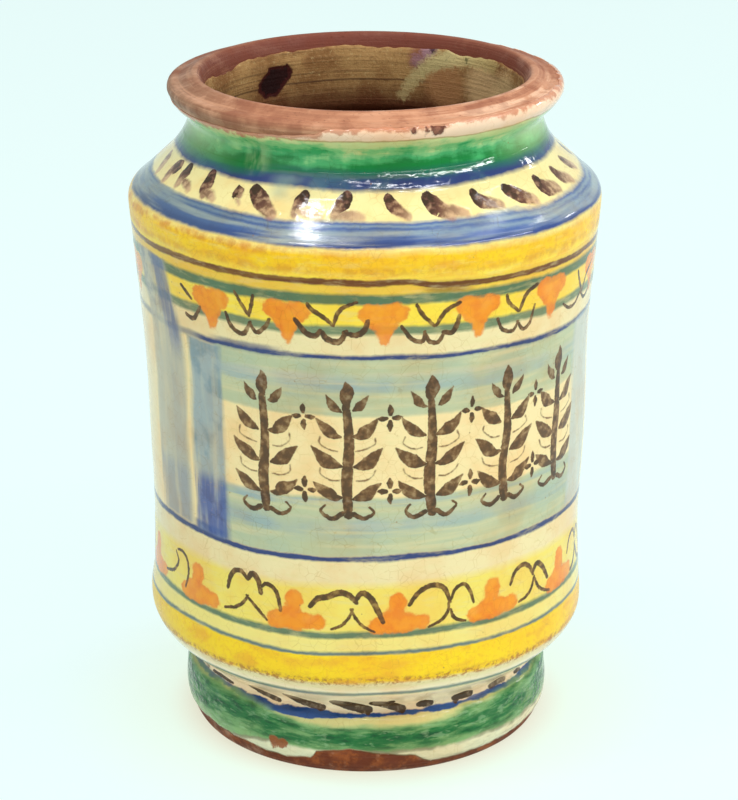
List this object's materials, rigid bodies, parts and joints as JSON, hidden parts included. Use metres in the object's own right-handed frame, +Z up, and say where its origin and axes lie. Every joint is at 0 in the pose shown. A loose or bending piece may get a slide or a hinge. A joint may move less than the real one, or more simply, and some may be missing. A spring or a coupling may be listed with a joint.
{
  "type": "apothecary jar",
  "caption": "Waisted cylindrical drug jar with a turned foot, sloping shoulder, cove neck and everted lip, for holding dry or paste goods under a tied cover.",
  "frame": {"origin": "centre of the foot, on the surface the jar stands on", "axes": "+Z up along the jar's axis of turning, -Y towards the side with the label panel in front"},
  "size_m": [0.1596, 0.1596, 0.23],
  "materials": {
    "clay": "matte, worn terracotta",
    "tin_glaze": "glossy, crazed, painted in green, blue, yellow, orange and brown",
    "lining_glaze": "dull, sandy, with residue"
  },
  "bodies": {
    "root": {"clay_body": "clay", "outer_glaze": "tin_glaze", "inner_glaze": "lining_glaze"}
  },
  "joints": []
}
